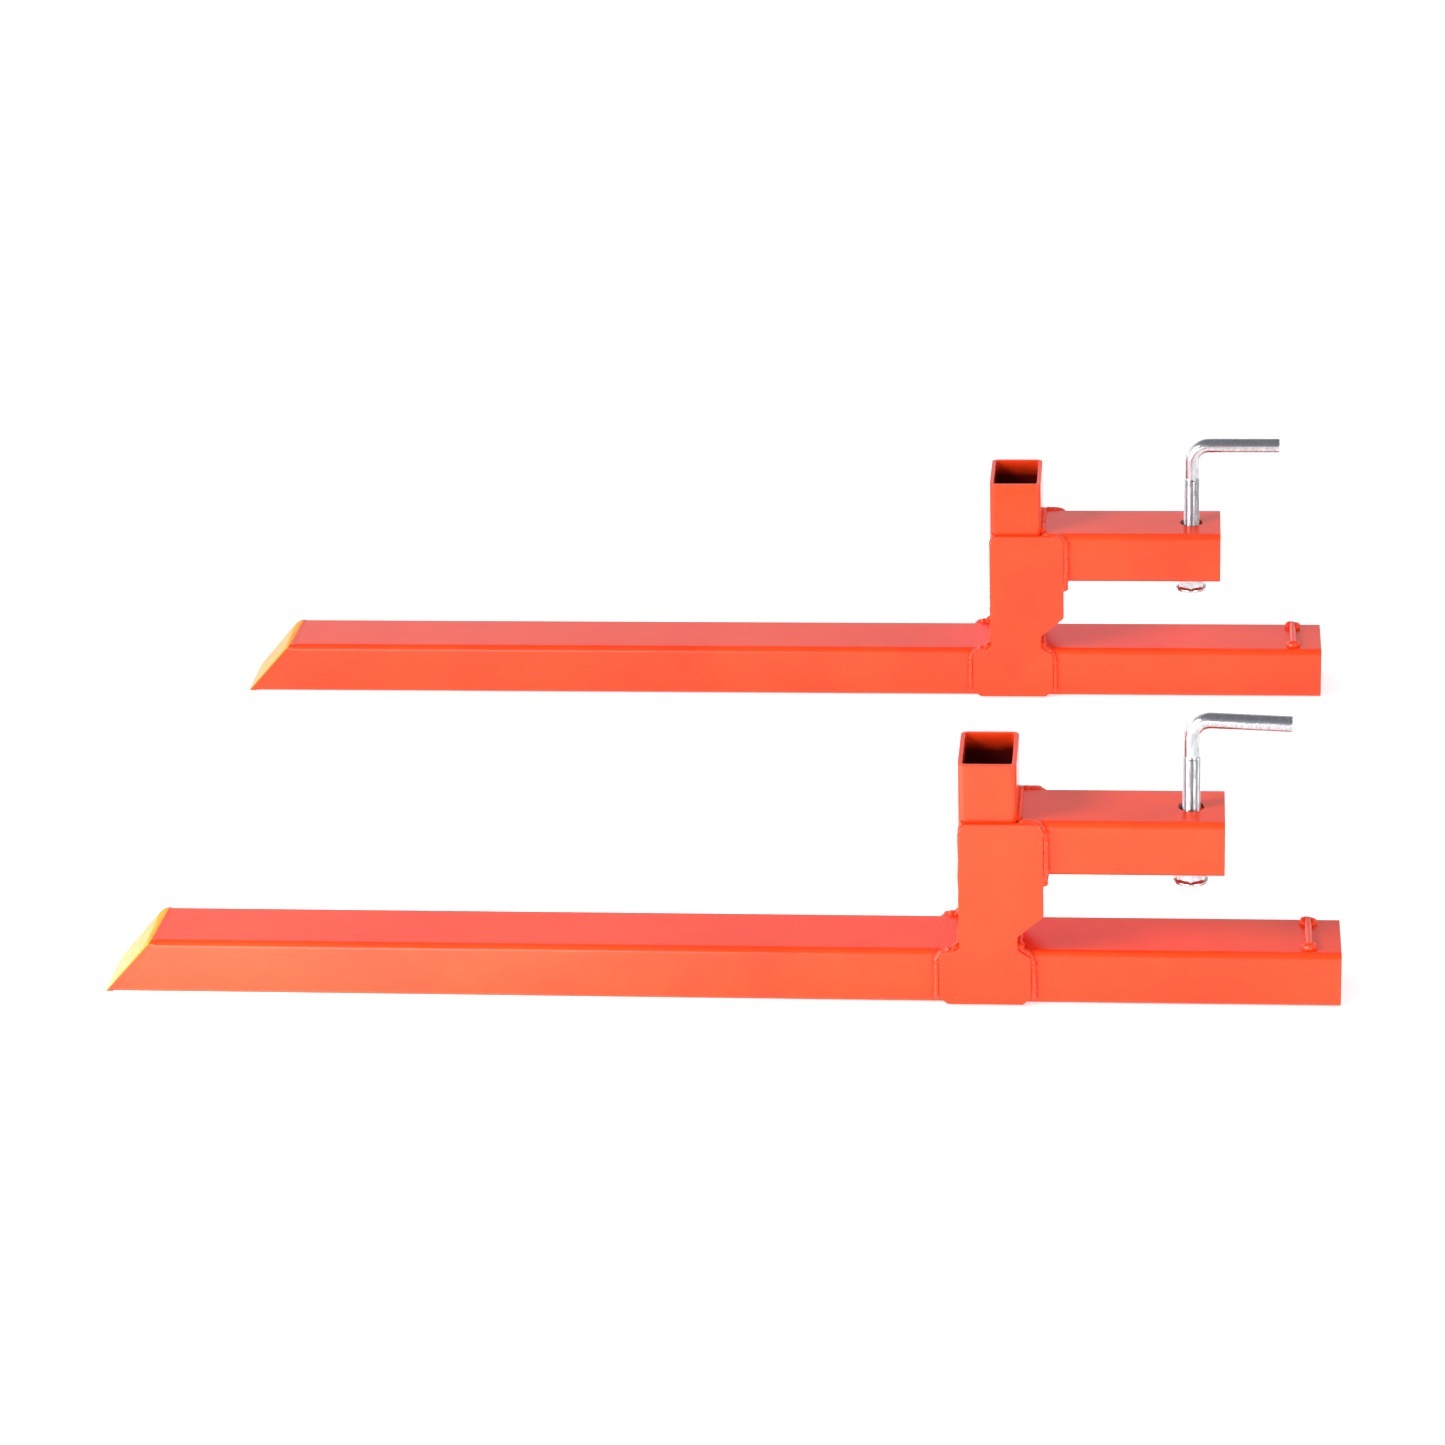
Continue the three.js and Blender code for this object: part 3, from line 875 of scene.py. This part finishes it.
# ---------------------------------------------------------------------------------------------------
# Pressure feet. A zinc-plated hexagon on a wide flange turns freely on each screw's nose, so that it
# doesn't scrub the bucket as the screw is tightened. The flange's face is recessed for the peened head.
# ---------------------------------------------------------------------------------------------------
FOOT_FLATS = 24 * MM
ROUND = 10  # flats this far apart (in metres) never show, so the ring is a circle
FLANGE_RIM = 2.6 * MM
RIM_EASE = 0.9 * MM
FLANGE_RISE = 2.2 * MM
FOOT_BORE = 10.5 * MM
FOOT_RECESS = 13.9 * MM
RECESS_DEPTH = 3.85 * MM
foot_zinc = zinc_plate("zinc_on_foot", (260, 260, 260))
for fork in FORKS:
    low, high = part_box(f"{fork}_pressure_foot")
    middle = (low + high) / 2
    flange = (high.x - low.x) / 2
    cone = FOOT_FLATS / 2
    corner = FOOT_FLATS / math.sqrt(3)
    skirt = low.z + FLANGE_RIM
    rings = []
    for z, radius in (
        (low.z, flange - RIM_EASE),
        (low.z + 0.25 * MM, flange - 0.3 * MM),
        (low.z + 0.9 * MM, flange),
        (skirt - 0.6 * MM, flange),
        (skirt, flange - 0.3 * MM),
        (skirt + 0.35 * MM, flange - RIM_EASE),
    ):
        rings.append(hexagon_ring(middle.x, middle.y, z, ROUND, radius))
    for k in range(6):
        share = k / 5
        reach = flange - RIM_EASE + (cone + 0.6 * MM - flange + RIM_EASE) * share
        ring = []
        for point in hexagon_ring(middle.x, middle.y, 0, FOOT_FLATS, corner):
            out = point - Vector((middle.x, middle.y, 0))
            radius = max(out.length, reach)
            height = skirt + 0.35 * MM + (flange - RIM_EASE - radius) * FLANGE_RISE / (flange - cone)
            spot = out.normalized() * radius
            ring.append(Vector((middle.x + spot.x, middle.y + spot.y, height)))
        rings.append(ring)
    for z, limit in (
        (high.z - 2.2 * MM, corner),
        (high.z - 1.2 * MM, cone + 1.0 * MM),
        (high.z - 0.5 * MM, cone + 0.1 * MM),
        (high.z, cone - 0.5 * MM),
    ):
        rings.append(hexagon_ring(middle.x, middle.y, z, FOOT_FLATS, limit))
    for z, radius in (
        (high.z, FOOT_BORE / 2 + 0.5 * MM),
        (high.z - 0.5 * MM, FOOT_BORE / 2),
        (low.z + RECESS_DEPTH, FOOT_BORE / 2),
        (low.z + RECESS_DEPTH, FOOT_RECESS / 2),
        (low.z + 0.5 * MM, FOOT_RECESS / 2),
        (low.z, FOOT_RECESS / 2 + 0.5 * MM),
    ):
        rings.append(hexagon_ring(middle.x, middle.y, z, ROUND, radius))
    foot = skin(f"{fork}_foot", rings, closed=True)
    settle(foot, f"{fork}_foot", "zinc_plate", [f"{fork}_pressure_foot"], foot_zinc, crease=28)

# ---------------------------------------------------------------------------------------------------
# Studio. A plain white floor that glows a little all over and most in a pool at the front left, the pool
# being painted light, under a soft sky that is brighter low down at the back and the left. Softboxes stand
# high at the left and the right, and low in front and at both front corners.
# ---------------------------------------------------------------------------------------------------
FLOOR_GLOW = 0.52
# The pool's glow is painted light on the floor, strongest at the front left.
POOL_GLOW = 2.7
bpy.ops.mesh.primitive_plane_add(size=80, location=(0, 0, -0.0003))
floor = bpy.context.object
floor.name = "floor"
paper = bpy.data.materials.new("floor_paper")
paper.use_nodes = True
paper_tree = paper.node_tree
paper_shader = paper_tree.nodes["Principled BSDF"]
paper_shader.inputs["Roughness"].default_value = 0.9
paper_shader.inputs["Specular IOR Level"].default_value = 0.1
paper_shader.inputs["Base Color"].default_value = (0.9, 0.9, 0.9, 1)
paper_shader.inputs["Emission Color"].default_value = (1, 1, 1, 1)
# The pool is an ellipsoid: the mapping's scale is one over its half length along each axis.
nearness = add(paper_tree, "ShaderNodeMapping")
nearness.inputs["Location"].default_value = (0.6, 1.0, 0)
nearness.inputs["Scale"].default_value = (1.25, 1.1, 1.1)
paper_tree.links.new(add(paper_tree, "ShaderNodeTexCoord").outputs["Object"], nearness.inputs["Vector"])
pool = add(paper_tree, "ShaderNodeTexGradient", gradient_type="SPHERICAL")
paper_tree.links.new(nearness.outputs["Vector"], pool.inputs["Vector"])
glow = add(paper_tree, "ShaderNodeMapRange", interpolation_type="SMOOTHSTEP")
glow.inputs["To Min"].default_value = FLOOR_GLOW
glow.inputs["To Max"].default_value = FLOOR_GLOW + POOL_GLOW
paper_tree.links.new(pool.outputs["Fac"], glow.inputs["Value"])
paper_tree.links.new(glow.outputs["Result"], paper_shader.inputs["Emission Strength"])
floor.data.materials.append(paper)
floor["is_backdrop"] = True

SKY_OVERHEAD = 0.29
SKY_BACK = 0.75
SKY_LEFT = 1.5
SKY_RIGHT = 0.15
world = bpy.data.worlds.new("studio")
bpy.context.scene.world = world
world.use_nodes = True
sky = world.node_tree
sky_light = sky.nodes["Background"]
sky_light.inputs["Color"].default_value = (0.93, 0.97, 1.05, 1)
sky_way = add(sky, "ShaderNodeSeparateXYZ")
sky.links.new(add(sky, "ShaderNodeTexCoord").outputs["Generated"], sky_way.inputs["Vector"])
low_down = add(sky, "ShaderNodeMapRange", From_Min=0.15, From_Max=0.85, To_Min=1.0, To_Max=0.0)
sky.links.new(sky_way.outputs["Z"], low_down.inputs["Value"])
sum_of_sides = None
for axis, reach, gain in (("Y", 0.9, SKY_BACK), ("X", -0.9, SKY_LEFT), ("X", 0.9, SKY_RIGHT)):
    side = add(sky, "ShaderNodeMapRange", From_Min=0.0, From_Max=reach, To_Min=0.0, To_Max=gain)
    sky.links.new(sky_way.outputs[axis], side.inputs["Value"])
    if sum_of_sides is None:
        sum_of_sides = side.outputs["Result"]
    else:
        both = add(sky, "ShaderNodeMath", operation="ADD")
        sky.links.new(sum_of_sides, both.inputs[0])
        sky.links.new(side.outputs["Result"], both.inputs[1])
        sum_of_sides = both.outputs["Value"]
strength = add(sky, "ShaderNodeMath", operation="MULTIPLY_ADD")
sky.links.new(sum_of_sides, strength.inputs[0])
sky.links.new(low_down.outputs["Result"], strength.inputs[1])
strength.inputs[2].default_value = SKY_OVERHEAD
sky.links.new(strength.outputs["Value"], sky_light.inputs["Strength"])


def softbox(name, place, target, width, height, brightness):
    """A rectangular softbox at place, facing target. Brightness is its surface radiance."""
    lamp = bpy.data.lights.new(name, "AREA")
    lamp.shape = "RECTANGLE"
    lamp.size = width
    lamp.size_y = height
    lamp.energy = brightness * math.pi * width * height
    box = bpy.data.objects.new(name, lamp)
    bpy.context.scene.collection.objects.link(box)
    box.location = place
    box.rotation_euler = (Vector(target) - Vector(place)).to_track_quat("-Z", "Y").to_euler()
    box.visible_camera = False


softbox("softbox_high_left", (-2.25, -1.5, 2.05), (0, -0.1, 0.1), 1.2, 0.9, 23)
softbox("softbox_high_right", (2.2, 0.4, 2.2), (0.3, 0, 0.1), 1.2, 1.2, 3.5)
softbox("softbox_front", (-0.9, -3.2, 0.45), (-0.3, -0.3, 0.05), 1.2, 0.7, 10)
softbox("softbox_low_right", (2.6, -3.0, 0.5), (0.2, -0.1, 0.1), 1.6, 0.9, 13.5)
softbox("softbox_low_left", (-2.6, -3.0, 0.5), (0, -0.1, 0.1), 1.6, 0.9, 9)

# ---------------------------------------------------------------------------------------------------
# Camera. A long lens stands about 4 m in front of the near fork and 1.8 m up. It is pitched down, turned
# a little to the left and rolled slightly.
# ---------------------------------------------------------------------------------------------------
CAMERA_PLACE = (0.4042, -4.1385, 1.8362)
PITCH_DOWN = math.radians(22.64)
YAW = math.radians(-5.93)
ROLL = math.radians(-1.906)
LENS = 118.64  # millimetres, on a sensor 36 mm wide
forward = Vector(
    (math.sin(YAW) * math.cos(PITCH_DOWN), math.cos(YAW) * math.cos(PITCH_DOWN), -math.sin(PITCH_DOWN))
)
level = Vector((math.cos(YAW), -math.sin(YAW), 0))
above = level.cross(forward)
camera_data = bpy.data.cameras.new("camera")
camera_data.sensor_width = 36
camera_data.lens = LENS
camera_data.clip_start = 0.1
camera_data.clip_end = 100
camera = bpy.data.objects.new("camera", camera_data)
bpy.context.scene.collection.objects.link(camera)
camera_x = math.cos(ROLL) * level + math.sin(ROLL) * above
camera_y = -math.sin(ROLL) * level + math.cos(ROLL) * above
facing = Matrix((camera_x, camera_y, -forward)).transposed()
camera.matrix_world = Matrix.Translation(CAMERA_PLACE) @ facing.to_4x4()
bpy.context.scene.camera = camera
bpy.context.scene.view_settings.view_transform = "Standard"

low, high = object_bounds()
